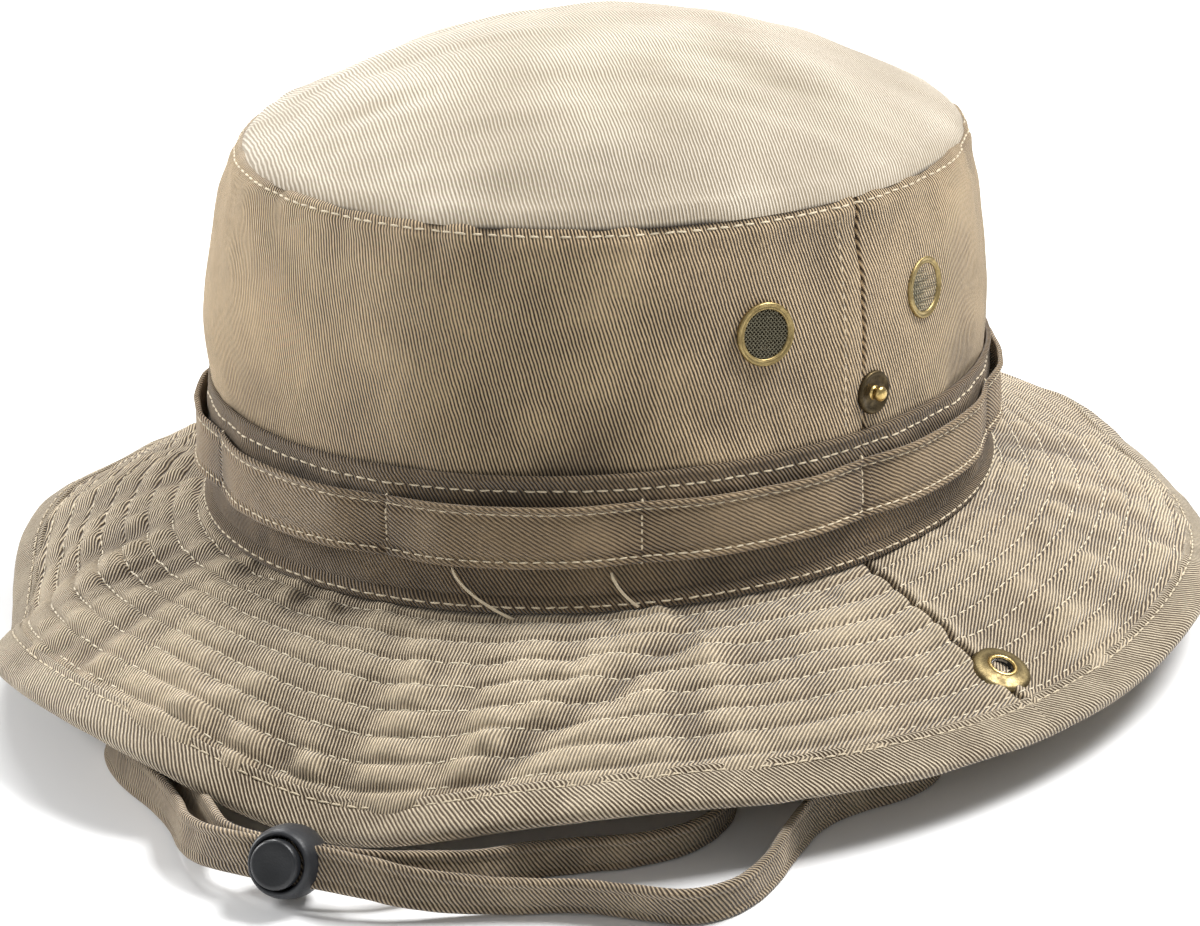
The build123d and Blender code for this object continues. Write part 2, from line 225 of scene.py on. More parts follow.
def brim_point(phi, reach, lift):
    """A point on the brim, lifted off its middle layer along its normal."""
    out, down, angle = brim_profile(phi, reach)
    wave = 1.1 * ripple(phi, 26, reach / 30, 13) * smooth(reach, 4, 40)
    wave = wave + 0.5 * ripple(phi, 54, reach / 17, 14) * smooth(reach, 0, 25)
    lift = lift + wave * (1 - beside_snaps(phi, 9))
    level = out + lift * np.sin(angle)
    x, y = (HEAD_X + level) * np.sin(phi), -(HEAD_Y + level) * np.cos(phi)
    return stacked(x, y, -BRIM_DROP - down + lift * np.cos(angle))


def snap_calm(phi, reach):
    """0 at the sockets, where the cloth is held flat, and 1 away from them."""
    return 1 - sum(bump(np.hypot(angle_off(phi, side) * 2.1, reach - 42), 9) for side in (90, -90))


def quilting(phi, reach):
    """The quilted cloth's relief: a dip at each row of stitches, and puckers in the bands between."""
    spacing = ROWS[1] - ROWS[0]
    band = (reach - ROWS[0]) / spacing
    within = band - np.floor(band)
    puff = np.sin(np.pi * within) ** 0.8
    dips = -0.55 * bump(np.minimum(within, 1 - within) * spacing, 0.55)
    fade = smooth(reach, 0, 4) * smooth(reach, BRIM_WIDTH, BINDING_START - 4)
    patchy = 0.65 + 0.45 * ripple(phi, 17, reach / 25, 15)
    pucker = 1.0 * ripple(phi, 112, np.floor(band) * 0.45 + within * 0.4, 16) * (0.25 + 0.75 * puff)
    pucker = pucker + 0.5 * ripple(phi, 170, np.floor(band) * 3.1 + within * 0.5, 17) * puff
    pucker = pucker + 0.55 * ripple(phi, 90, reach / 22, 18)
    drawn = 0.5 * ripple(phi, 132, reach / 24, 34) + 0.7 * ripple(phi, 78, reach / 30 + phi * 2, 35)
    pucker = pucker + drawn * (0.35 + 0.9 * bump(angle_off(phi, -45), 42))
    wander = 0.9 * lumps(reach / 8, 0 * phi, 33) * smooth(reach, 3, 12)
    side = np.abs(side_distance(phi) * (HEAD_Y + reach) / SEAM_R + wander)
    seam = -2.4 * bump(side, 0.55) + 0.5 * bump(side - 2.2, 1.4)
    crease = np.radians(angle_off(phi, 66 - 0.55 * reach)) * (HEAD_X + reach)
    crease = crease + 2.5 * lumps(reach / 13, 0 * phi, 36)
    fold = 0.9 * bump(crease + 10, 6) - 1.3 * bump(crease, 5.5) + 0.9 * bump(crease - 11, 7)
    fold = fold * smooth(reach, 2, 20)
    relief = (0.5 * puff + dips + pucker * patchy * 1.6 + fold) * fade * snap_calm(phi, reach)
    return relief + seam * smooth(reach, -1, 3)


def brim_top(phi, reach):
    return brim_point(phi, reach, BRIM_HALF + 0.1 + quilting(phi, reach))


def brim_under(phi, reach):
    return brim_point(phi, reach, -BRIM_HALF - 0.1 + 0.5 * quilting(phi, reach))


# --- mesh making ---
def new_object(name, points, faces, material, cloth=None, normals=None):
    """A smooth mesh from points in mm. `cloth` is each point's place on the flat cloth, and the shade painted
    there from the relief (on stitches, a random tone).
    """
    mesh = bpy.data.meshes.new(name)
    sides = faces.shape[1]
    mesh.vertices.add(len(points))
    mesh.vertices.foreach_set("co", (points * MM).astype(np.float32).ravel())
    mesh.loops.add(faces.size)
    mesh.loops.foreach_set("vertex_index", faces.astype(np.int32).ravel())
    mesh.polygons.add(len(faces))
    mesh.polygons.foreach_set("loop_start", np.arange(0, faces.size, sides, dtype=np.int32))
    mesh.update(calc_edges=True)
    mesh.validate()
    mesh.polygons.foreach_set("use_smooth", np.ones(len(mesh.polygons), dtype=bool))
    if cloth is not None:
        attribute = mesh.attributes.new("cloth", "FLOAT_VECTOR", "POINT")
        attribute.data.foreach_set("vector", cloth.astype(np.float32).ravel())
    if normals is not None:
        mesh.normals_split_custom_set_from_vertices(normals.tolist())
    obj = bpy.data.objects.new(name, mesh)
    bpy.context.collection.objects.link(obj)
    mesh.materials.append(material)
    return obj


def grid_faces(across, along, closed=False):
    """Faces of a grid of points, `across` columns of `along` points each."""
    i = np.arange(across - 1)[:, None] * along
    j = np.arange(along if closed else along - 1)[None, :]
    k = (j + 1) % along
    return stacked(i + j, i + along + j, i + along + k, i + k).reshape(-1, 4)


def ring_normals(points, closed, flip):
    """Normals of a ring of points that meets itself, so that its cuts don't show."""
    loop = points[:-1]
    du = np.roll(loop, -1, axis=0) - np.roll(loop, 1, axis=0)
    du = np.concatenate([du, du[:1]])
    dv = np.roll(points, -1, axis=1) - np.roll(points, 1, axis=1) if closed else np.gradient(points, axis=1)
    normal = np.cross(du, dv) * (-1 if flip else 1)
    return normal / np.maximum(np.linalg.norm(normal, axis=-1, keepdims=True), 1e-9)


def ring_piece(name, points, cloth, material, cuts, closed=False, flip=False):
    """Part of a ring, as one mesh. Each cut is a range of columns, with a cloth of its own."""
    normals = ring_normals(points, closed, flip)
    all_points, all_cloth, all_normals, all_faces, base = [], [], [], [], 0
    for start, end in cuts:
        part = slice(start, end + 1)
        faces = grid_faces(end - start + 1, points.shape[1], closed) + base
        all_faces.append(faces[:, ::-1] if flip else faces)
        all_points.append(points[part].reshape(-1, 3))
        all_normals.append(normals[part].reshape(-1, 3))
        all_cloth.append(cloth(PHI[part], start).reshape(-1, 3))
        base += (end - start + 1) * points.shape[1]
    return new_object(
        name, np.concatenate(all_points), np.concatenate(all_faces), material,
        np.concatenate(all_cloth), np.concatenate(all_normals),
    )


def shading(relief):
    """Painted shade from the relief: soft dips in the cloth darken it a little, and its seams a lot, and
    raised cloth is painted lighter.
    """
    return relief * (0.45 + 0.55 * smooth(relief, -0.8, -1.1))


def wall_cloth(heights, relief=None):
    def cloth(phi, start):
        # Painted shade and light from the wall's relief.
        relief_shade = shading(relief(phi, heights)) if relief is not None else 0.0
        return stacked(phi * SEAM_R + start * NEXT_CUT, heights, relief_shade)
    return cloth


def both_halves(name, points, cloth, material, nodes, **options):
    """A ring on the brim, cut down the middle into a left and a right half."""
    halves = (("left", 1, LEFT_HALF, "front"), ("right", -1, RIGHT_HALF, "back"))
    for side_name, sign, cuts, end_name in halves:
        obj = ring_piece(f"{name}_{side_name}", points, cloth, material, cuts, **options)
        bend_up(obj)
        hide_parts(f"{nodes}_{end_name}", f"{nodes}_{side_name}")


def bend_up(obj):
    """Bakes a piece's placing into its points, leaving its shape as it is."""
    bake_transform(obj)


def fit(obj, body, slot_name, *nodes):
    """Rides a piece on its body and hides the frame's nodes that it stands for. `slot_name` is not used."""
    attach(obj, body)
    if nodes:
        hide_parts(*nodes)
    return obj


def lathe(name, profile, place, material, segments=72):
    """A turned piece: a profile of (radius, height) about the local Z axis of a placing matrix."""
    angle = np.linspace(0, 2 * np.pi, segments, endpoint=False)[:, None]
    radius, height = np.array(profile, float).T
    points = stacked(np.cos(angle) * radius, np.sin(angle) * radius, height)
    points = np.concatenate([points, points[:1]]).reshape(-1, 3)
    obj = new_object(name, points, grid_faces(segments + 1, len(profile)), material)
    weld(obj)
    obj.matrix_world = place
    return obj


def weld(obj):
    """Joins the points that lie on one another, as along a turned piece's seam."""
    work = bmesh.new()
    work.from_mesh(obj.data)
    bmesh.ops.remove_doubles(work, verts=work.verts, dist=1e-6)
    work.to_mesh(obj.data)
    work.free()


STITCH = [(-0.5, 0.03, -0.9), (-0.44, 0.6, -0.35), (-0.25, 0.95, 0.05), (0, 1, 0.2), (0.25, 0.95, 0.05),
          (0.44, 0.6, -0.35), (0.5, 0.03, -0.9)]


def run_along(path):
    """The distance along a path from its first point to each of its points."""
    return np.concatenate([[0], np.cumsum(np.linalg.norm(np.diff(path, axis=0), axis=1))])


def unit(vectors):
    return vectors / np.linalg.norm(vectors, axis=-1, keepdims=True)


def thread_mesh(name, rows, material, length=2.5, pitch=3.2, thick=0.5, seed=0):
    """Rows of stitches. Each row is (points, normals) along a path; each stitch is a short arched thread."""
    sides = 6
    t, r, lift = (np.array(column) for column in zip(*STITCH))
    around = np.linspace(0, 2 * np.pi, sides, endpoint=False)
    random = np.random.default_rng(seed)
    points, shades = [], []
    for path, normal in rows:
        run = run_along(path)
        centres = np.arange(pitch * 0.6, run[-1] - pitch * 0.4, pitch)
        centres = centres + random.uniform(-0.12, 0.12, len(centres)) * pitch

        def on_path(at, values):
            return np.stack([np.interp(at, run, values[:, k]) for k in range(3)], axis=-1)

        middle, up = on_path(centres, path), on_path(centres, normal)
        along = unit(on_path(centres + 0.4, path) - on_path(centres - 0.4, path))
        across = unit(np.cross(up, along))
        tilt = random.uniform(-0.09, 0.09, (len(centres), 1))
        along, across = along + across * tilt, across - along * tilt
        span = length * random.uniform(0.88, 1.08, (len(centres), 1, 1, 1))
        level = np.sin(around)[None, :] * r[:, None] * 0.8 + lift[:, None]
        width = np.cos(around)[None, :] * r[:, None]
        body = (
            middle[:, None, None] + along[:, None, None] * t[None, :, None, None] * span
            + across[:, None, None] * (width * thick / 2)[None, :, :, None]
            + up[:, None, None] * (level * thick / 2)[None, :, :, None]
        )
        points.append(body.reshape(-1, 3))
        shades.append(np.repeat(random.uniform(-1, 1, len(centres)), len(t) * sides))
    points, shades = np.concatenate(points), np.concatenate(shades)
    count = len(points) // (len(t) * sides)
    faces = grid_faces(len(t), sides, closed=True)
    faces = (faces[None] + (np.arange(count) * len(t) * sides)[:, None, None]).reshape(-1, 4)
    return new_object(name, points, faces[:, ::-1], material, stacked(points[:, 0], points[:, 2], shades))


def row_on(surface, phi, value, up=1, lift=0.0):
    """A path and its normals along a surface at one height or reach."""
    phi = phi[:, None]
    path = surface(phi, np.array([[value]]))[:, 0]
    along = np.gradient(path, axis=0)
    across = (surface(phi, np.array([[value + 0.4]])) - surface(phi, np.array([[value - 0.4]])))[:, 0]
    normal = unit(np.cross(along, across) * up)
    return path + normal * lift, normal


# --- materials ---
def srgb(red, green, blue):
    """A linear colour from 8-bit sRGB values above 10."""
    return tuple(((c / 255 + 0.055) / 1.055) ** 2.4 for c in (red, green, blue)) + (1,)


def tinted(colour, share, lift=0.0):
    return tuple(min(1, c * share + lift) for c in colour[:3]) + (1,)


class Nodes:
    """Short calls for building a material's nodes."""

    def __init__(self, name):
        self.material = bpy.data.materials.new(name)
        self.material.use_nodes = True
        self.tree = self.material.node_tree
        self.shader = self.tree.nodes["Principled BSDF"]

    def add(self, kind, inputs=(), **settings):
        node = self.tree.nodes.new(kind)
        for key, value in settings.items():
            setattr(node, key, value)
        for key, value in dict(inputs).items():
            self.put(node.inputs[key], value)
        return node

    def put(self, socket, value):
        """Links a node's output to a socket, or sets the socket to a plain value."""
        if isinstance(value, bpy.types.NodeSocket):
            self.tree.links.new(value, socket)
        else:
            socket.default_value = value

    def cloth(self):
        """The place on the flat cloth, and the shade painted there from the relief (on stitches, a random
        tone).
        """
        place = self.add("ShaderNodeAttribute", attribute_name="cloth").outputs["Vector"]
        return place, self.add("ShaderNodeSeparateXYZ", {0: place}).outputs[2]

    def where(self):
        return self.add("ShaderNodeTexCoord").outputs["Object"]

    def math(self, operation, *values):
        return self.add("ShaderNodeMath", enumerate(values), operation=operation).outputs[0]

    def dot(self, vector, direction):
        node = self.add("ShaderNodeVectorMath", {0: vector, 1: direction}, operation="DOT_PRODUCT")
        return node.outputs["Value"]

    def noise(self, vector, scale, detail=3.0, roughness=0.5, distortion=0.0):
        inputs = {"Vector": vector, "Scale": scale, "Detail": detail, "Roughness": roughness}
        return self.add("ShaderNodeTexNoise", {**inputs, "Distortion": distortion}).outputs["Fac"]

    def spread(self, value, low, high, to_low=0.0, to_high=1.0):
        inputs = {0: value, 1: low, 2: high, 3: to_low, 4: to_high}
        return self.add("ShaderNodeMapRange", inputs, clamp=True).outputs[0]

    def mix(self, factor, first, second, blend="MIX"):
        node = self.add("ShaderNodeMix", data_type="RGBA", blend_type=blend)
        for socket, value in zip((node.inputs[0], node.inputs[6], node.inputs[7]), (factor, first, second)):
            self.put(socket, value)
        return node.outputs[2]

    def bumps(self, height, distance):
        node = self.add("ShaderNodeBump", {"Height": height, "Distance": distance, "Strength": 1.0})
        self.put(self.shader.inputs["Normal"], node.outputs[0])

    def look(self, **values):
        for key, value in values.items():
            self.put(self.shader.inputs[key.replace("_", " ")], value)
        return self.material


def twill(name, light, dark, red, angle, pitch=0.78, contrast=0.62, wash=0.8, depth=0.00042):
    """Washed cotton twill. `angle` is the direction of its ribs on the flat cloth, in degrees."""
    n = Nodes(name)
    place, relief_shade = n.cloth()
    turn = math.radians(angle)
    along = n.dot(place, (math.cos(turn), math.sin(turn), 0))
    across = n.dot(place, (-math.sin(turn), math.cos(turn), 0))
    flat = n.add("ShaderNodeCombineXYZ", {0: along, 1: across}).outputs[0]

    waver = n.noise(flat, 0.22, 2.0)
    phase = n.math("ADD", n.math("DIVIDE", across, pitch), n.math("MULTIPLY", waver, 0.7))
    rib = n.spread(n.math("SINE", n.math("MULTIPLY", phase, 2 * math.pi)), -1, 1)
    yarn_place = n.add("ShaderNodeVectorMath", {0: flat, 1: (0.55, 2.3, 1)}, operation="MULTIPLY").outputs[0]
    yarn = n.noise(yarn_place, 1.0, 3.0, 0.6)
    fleck = n.spread(n.noise(yarn_place, 1.9, 1.0), 0.3, 0.7)

    washed = n.spread(n.noise(flat, 0.055, 4.0, 0.62, 0.4), 0.36, 0.66)
    patches = n.spread(n.noise(flat, 0.021, 3.0, 0.55, 0.2), 0.52, 0.74)
    # Painted light and shade: the relief kept with each point makes raised cloth lighter and dips darker.
    relief_shade_tone = n.spread(relief_shade, -0.8, 0.9)

    tone = n.math("MULTIPLY", rib, contrast)
    for part, share in ((yarn, 0.28), (fleck, 0.1), (washed, 0.14 * wash), (relief_shade_tone, 0.3)):
        tone = n.math("ADD", tone, n.math("MULTIPLY", part, share))
    tone = n.spread(tone, 0.45, contrast + 0.4)
    colour = n.mix(tone, dark, light)
    colour = n.mix(n.math("MULTIPLY", patches, 0.15 * wash), colour, red)
    # Painted shadow: the deepest seams and creases are mixed towards a near-black shadow colour.
    colour = n.mix(n.spread(relief_shade, -0.95, -1.7), colour, CREASE_SHADOW)

    n.bumps(n.math("ADD", rib, n.math("MULTIPLY", yarn, 0.7)), depth)
    return n.look(
        Base_Color=colour, Roughness=n.spread(yarn, 0.3, 0.7, 0.8, 0.95), Specular_IOR_Level=0.25,
        Sheen_Weight=0.25, Sheen_Roughness=0.5,
    )


def thread(name, colour):
    n = Nodes(name)
    _, shade = n.cloth()
    ply = n.noise(n.where(), 2600.0, 2.0)
    tone = n.math("ADD", n.math("MULTIPLY", ply, 0.7), n.math("MULTIPLY", n.spread(shade, -1, 1), 0.45))
    n.bumps(ply, 0.00006)
    return n.look(
        Base_Color=n.mix(tone, tinted(colour, 0.6), colour), Roughness=n.spread(ply, 0, 1, 0.65, 0.85),
        Sheen_Weight=0.2,
    )


def brass(name, bright, dull, roughness=0.34, patina=0.55):
    n = Nodes(name)
    where = n.where()
    cloud = n.noise(where, 420.0, 4.0, 0.6, 0.3)
    speck = n.noise(where, 2400.0, 2.0)
    age = n.spread(n.math("ADD", cloud, n.math("MULTIPLY", speck, 0.35)), 0.5, 0.86, 0, patina)
    n.bumps(speck, 0.00003)
    return n.look(
        Base_Color=n.mix(age, bright, dull), Metallic=1.0,
        Roughness=n.spread(cloud, 0.3, 0.7, roughness, roughness + 0.22),
    )


def plastic(name, colour, roughness=0.42):
    n = Nodes(name)
    where = n.where()
    grain = n.noise(where, 2300.0, 3.0)
    smear = n.noise(where, 160.0, 3.0)
    n.bumps(grain, 0.00004)
    return n.look(
        Base_Color=n.mix(n.spread(smear, 0.35, 0.7), colour, tinted(colour, 1.7, 0.004)),
        Roughness=n.spread(grain, 0.3, 0.7, roughness, roughness + 0.14),
    )


def steel(name, colour, roughness=0.4):
    n = Nodes(name)
    cloud = n.noise(n.where(), 900.0, 3.0)
    n.bumps(cloud, 0.00002)
    return n.look(
        Base_Color=n.mix(cloud, colour, tinted(colour, 0.55)), Metallic=1.0,
        Roughness=n.spread(cloud, 0.3, 0.7, roughness, 0.6),
    )


# The last colour here is a painted shadow colour, for the deepest seams and creases.
LIGHT, DARK, RED, CREASE_SHADOW = srgb(226, 207, 175), srgb(66, 48, 29), srgb(150, 122, 98), srgb(40, 31, 22)
# The crown's wall and top take copies of the brim's twill: the wall's is darker with more contrast, painted
# shade on the wall's sides, and the top's is paler with less contrast, painted light from above.
WALL_SHADE_LIGHT, WALL_SHADE_DARK = srgb(222, 195, 155), srgb(50, 35, 20)
crown_cloth = twill("crown_twill", WALL_SHADE_LIGHT, WALL_SHADE_DARK, RED, 110)
top_cloth = twill("top_twill", srgb(216, 205, 187), srgb(142, 128, 106), RED, 151, wash=0.4, depth=0.0002)
brim_twill = twill("brim_twill", LIGHT, DARK, RED, 121)
band_cloth = twill("band_twill", srgb(148, 126, 96), srgb(44, 33, 21), RED, 124)
tape_cloth = twill("tape_twill", srgb(170, 147, 115), srgb(60, 45, 29), RED, 147)
binding_cloth = twill("binding_twill", srgb(222, 206, 178), srgb(78, 60, 40), RED, 128)
strap_cloth = twill("strap_twill", srgb(192, 172, 142), srgb(58, 44, 30), RED, 127)
lining_cloth = twill("lining_cotton", srgb(198, 182, 154), srgb(130, 112, 88), RED, 90, 0.6, 0.4)
top_thread = thread("topstitch_thread", srgb(226, 210, 180))
quilt_thread = thread("quilting_thread", srgb(240, 227, 200))
old_brass = brass("antique_brass", srgb(176, 156, 108), srgb(92, 76, 46))
bright_brass = brass("bright_brass", srgb(206, 178, 116), srgb(140, 112, 62), 0.22, 0.35)
worn_brass = brass("worn_brass", srgb(150, 134, 96), srgb(74, 62, 42), 0.36, 0.75)
# This dark brass also serves as painted shade, in the disc behind each vent's wire.
dark_brass_and_shade = brass("dark_brass_and_shade", srgb(92, 80, 58), srgb(40, 34, 26), 0.4, 0.6)
wire_steel = steel("vent_wire", srgb(134, 129, 110))
spring_steel = steel("spring_steel", srgb(190, 190, 190), 0.28)
# This black plastic also serves as painted shade, in the cup that fills each snap socket's hole.
black_plastic = plastic("black_plastic", srgb(22, 24, 28))
black_button = plastic("black_button_plastic", srgb(20, 22, 25), 0.34)


# --- crown ---
def make_crown():
    heights = np.linspace(BAND_TOP - 4, CROWN_H, 74)[None, :]
    wall = crown_wall(PHI, heights)
    for name, cut in (("front", FRONT_PANEL), ("back", BACK_PANEL)):
        obj = ring_piece(f"crown_{name}_panel", wall, wall_cloth(heights, wall_relief), crown_cloth, [cut])
        fit(obj, "hat", "crown_twill", f"crown_panel_{name}")

    shares = (1 - 0.9995 * np.linspace(0, 1, 74) ** 1.15)[None, :]

    def plan_cloth(phi, start):
        part = top_point(phi, shares)
        # Painted shade and light: the cloth darkens towards the seam, and one layer of the top's lumps paints
        # raised cloth lighter and sunk cloth darker.
        seam = np.exp((shares - 1) * TOP_R / 0.7)
        relief_shade = 0.7 * lumps(part[..., 0] / 15, part[..., 1] / 13, 9) - 1.25 * seam
        return stacked(part[..., 0], part[..., 1], relief_shade)

    obj = ring_piece("crown_top", top_point(PHI, shares), plan_cloth, top_cloth, [(0, COLUMNS)])
    fit(obj, "hat", "crown_twill", "crown_top_panel")


def closed_band(name, section, relief, material, node):
    """A band round the crown. Its section is a closed loop of (height, share of the relief, distance out)."""
    height, share, out = (np.array(column, float)[None, :] for column in zip(*section))
    points = wall_point(PHI, height, out + share * relief(PHI, height))
    length = run_along(np.stack((height[0], out[0]), axis=-1))[None, :]

    def cloth(phi, start):
        # Painted shade and light: the band's relief, kept with each point, darkens its dips and lightens its
        # rises.
        return stacked(phi * SEAM_R + start * NEXT_CUT, -length, share * relief(phi, height))

    obj = ring_piece(name, points, cloth, material, [FRONT_PANEL, BACK_PANEL], closed=True, flip=True)
    fit(obj, "hat", "crown_twill" if "band" in name else "webbing", node)


def band_relief(phi, height):
    soft = 0.45 * ripple(phi, 33, height / 16, 20) + 0.4 * ripple(phi, 72, height / 9, 21)
    soft = soft + 0.3 * ripple(phi, 120, height / 5, 22)
    stitch = -0.35 * bump(height - BAND_STITCH, 0.55) - 0.45 * bump(height - BASE_STITCH - 0.6, 0.5)
    return soft * smooth(height, 1, 6) * smooth(height, 32, 27) + stitch


def tape_relief(phi, height):
    """The loop tape stands off the hatband between its tacks."""
    nearest = np.min([np.abs(angle_off(phi, azimuth)) for azimuth in TACKS], axis=0)
    nearest = np.radians(nearest) * (SEAM_R + 2)
    loose = 1.5 * smooth(nearest, 0.3, 16) + 0.25 * ripple(phi, 29, height / 12, 23)
    edge = -0.45 * bump(height - TAPE_LOW - 2.3, 0.6) - 0.45 * bump(height - TAPE_HIGH + 2.3, 0.6)
    ripples = 0.25 * ripple(phi, 84, height / 7, 24)
    return loose + edge + ripples - 0.5 * bump(nearest, 0.8)


def sweat_relief(phi, height):
    return 0.4 * ripple(phi, 30, height / 15, 25) + 0.25 * ripple(phi, 90, height / 8, 26)


def make_bands():
    face = [(h, 1, 1.5) for h in np.linspace(BAND_TOP - 1.6, 3.4, 30)]
    roll = [(31.0, 0, 0.3), (31.2, 0.1, 0.9), (31.0, 0.3, 1.5), (30.4, 0.6, 1.8), (29.9, 1, 1.75)]
    foot = [(2.7, 0.6, 2.1), (2.1, 0.3, 2.6), (1.2, 0.1, 2.8), (0.2, 0, 2.5), (-0.5, 0, 1.5), (-0.4, 0, 0.4),
            (1.5, 0, 0.1)]
    closed_band("hatband", roll + face + foot, band_relief, band_cloth, "hatband")

    low, high = TAPE_LOW, TAPE_HIGH
    front = [(h, 1, 2.7) for h in np.linspace(high - 1.6, low + 1.6, 14)]
    upper = [(high - 0.5, 1, 1.7), (high, 1, 2.1), (high - 0.1, 1, 2.9), (high - 0.8, 1, 3.2)]
    lower = [(low + 0.8, 1, 3.2), (low + 0.1, 1, 2.9), (low, 1, 2.1), (low + 0.5, 1, 1.7)]
    closed_band("loop_tape_strip", upper + front + lower, tape_relief, tape_cloth, "loop_tape")

    inner = [(h, 1, -3.4) for h in np.linspace(1.6, 31, 16)]
    sweat = inner + [(32, 0.5, -2.9), (32.1, 0, -2.2), (31, 0, -1.9), (1.4, 0, -1.9), (0.6, 0, -2.5)]
    closed_band("sweatband_cloth", sweat, sweat_relief, lining_cloth, "sweatband")

    tape = [(h, 0, -2.6) for h in np.linspace(CROWN_H - 8, CROWN_H - 1, 5)]
    tape += [(CROWN_H - 0.6, 0, -2.2), (CROWN_H - 1, 0, -1.9), (CROWN_H - 8, 0, -1.9)]
    closed_band("top_seam_tape_cloth", tape, sweat_relief, lining_cloth, "top_seam_tape")
    welt = [(0.6, 0, -2.2), (0, 0, -0.3), (-1.5, 0, 0.3), (-2.6, 0, -0.2), (-2.7, 0, -1.6), (-1.2, 0, -2.4)]
    closed_band("brim_seam_welt_cloth", welt, sweat_relief, lining_cloth, "brim_seam_welt")

    # The lining that shows inside the crown: the wall's and the top's inner faces.
    heights = np.linspace(24, CROWN_H - 0.8, 40)[None, :]
    inside = wall_point(PHI, heights, -1.7 + 0.7 * wall_relief(PHI, heights))
    panels = [FRONT_PANEL, BACK_PANEL]
    obj = ring_piece("crown_inside", inside, wall_cloth(heights), lining_cloth, panels, flip=True)
    fit(obj, "hat", "lining")
    shares = (0.985 * (1 - np.linspace(0, 1, 36) ** 1.1))[None, :]
    under = top_point(PHI, shares, drop=1.8)

    def under_cloth(phi, start):
        part = top_point(phi, shares)
        return stacked(part[..., 0], part[..., 1], 0)

    obj = ring_piece("crown_top_inside", under, under_cloth, lining_cloth, [(0, COLUMNS)], flip=True)
    fit(obj, "hat", "lining")
    for name, side in SIDES:
        fit(side_strip(f"side_seam_tape_cloth_{name}", side), "hat", "lining", f"side_seam_tape_{name}")


def side_strip(name, side):
    """The tape inside over one side seam."""
    phi = np.radians(90 * side + np.linspace(-3.4, 3.4, 15))[:, None]
    heights = np.linspace(31, 77.5, 40)[None, :]
    points = wall_point(phi, heights, -2.5 + 0.3 * ripple(phi, 9, heights / 6, 27))
    cloth = stacked(phi * SEAM_R, heights, 0)
    faces = grid_faces(15, 40)[:, ::-1]
    return new_object(name, points.reshape(-1, 3), faces, lining_cloth, cloth.reshape(-1, 3))


# --- brim ---
def brim_cloth(reach):
    """The flat cloth of the brim: the front and back panels are cut with one grain each."""
    def cloth(phi, start):
        fan = (phi - (0 if start in (0, QUARTER) else math.pi)) * FAN
        # Painted shade and light from the quilting's relief, darkest along the side seams.
        relief_shade = np.maximum(0.7 * quilting(phi, reach), -0.8 - 1.6 * bump(side_distance(phi), 3))
        return stacked((FAN_R + reach) * np.sin(fan) + start, -(FAN_R + reach) * np.cos(fan), relief_shade)
    return cloth


def make_brim():
    for name, surface, low, steps, nodes, flip in (
        ("brim_top", brim_top, -1.5, 84, "brim_upper", True),
        ("brim_under", brim_under, -1.0, 64, "brim_lower", False),
    ):
        reach = np.linspace(low, BRIM_WIDTH - 3, steps)[None, :]
        both_halves(name, surface(PHI, reach), brim_cloth(reach), brim_twill, nodes, flip=flip)

    edge = [(BINDING_START - 0.2, 1.0), (BINDING_START, 1.75), (BINDING_START + 0.8, 2.1)]
    edge += [(s, 2.0) for s in np.linspace(BINDING_START + 1.9, BRIM_WIDTH - 2.4, 8)]
    edge += [(BRIM_WIDTH - 1.1, 1.75), (BRIM_WIDTH - 0.2, 1.05)]
    edge = edge + [(BRIM_WIDTH + 0.15, 0.0)] + [(s, -lift) for s, lift in reversed(edge)]
    reach, lift = (np.array(column)[None, :] for column in zip(*edge))
    length = run_along(np.array(edge))[None, :]

    def puffs(phi):
        swell = 0.3 * ripple(phi, 120, length / 9 + phi * 5, 30) + 0.3 * ripple(phi, 61, length / 14, 31)
        dip = -0.5 * bump(np.abs(length - 11.5) - 8.9, 0.5)
        return (swell * smooth(length, 0, 2) * smooth(length, 23, 21) + dip) * np.sign(lift)

    def cloth(phi, start):
        # Painted shade and light from the binding's puffs and the dip at its stitching.
        return stacked(phi * 140 + start * 1.3, -length, puffs(phi) * np.sign(lift))

    points = brim_point(PHI, reach, lift + puffs(PHI))
    both_halves("brim_binding", points, cloth, binding_cloth, "brim_binding", closed=True, flip=True)


# --- stitches ---
def outward(path):
    """A path up the crown's wall, with the directions straight out from it."""
    return path, unit(path * np.array([1, 1, 0.0]))


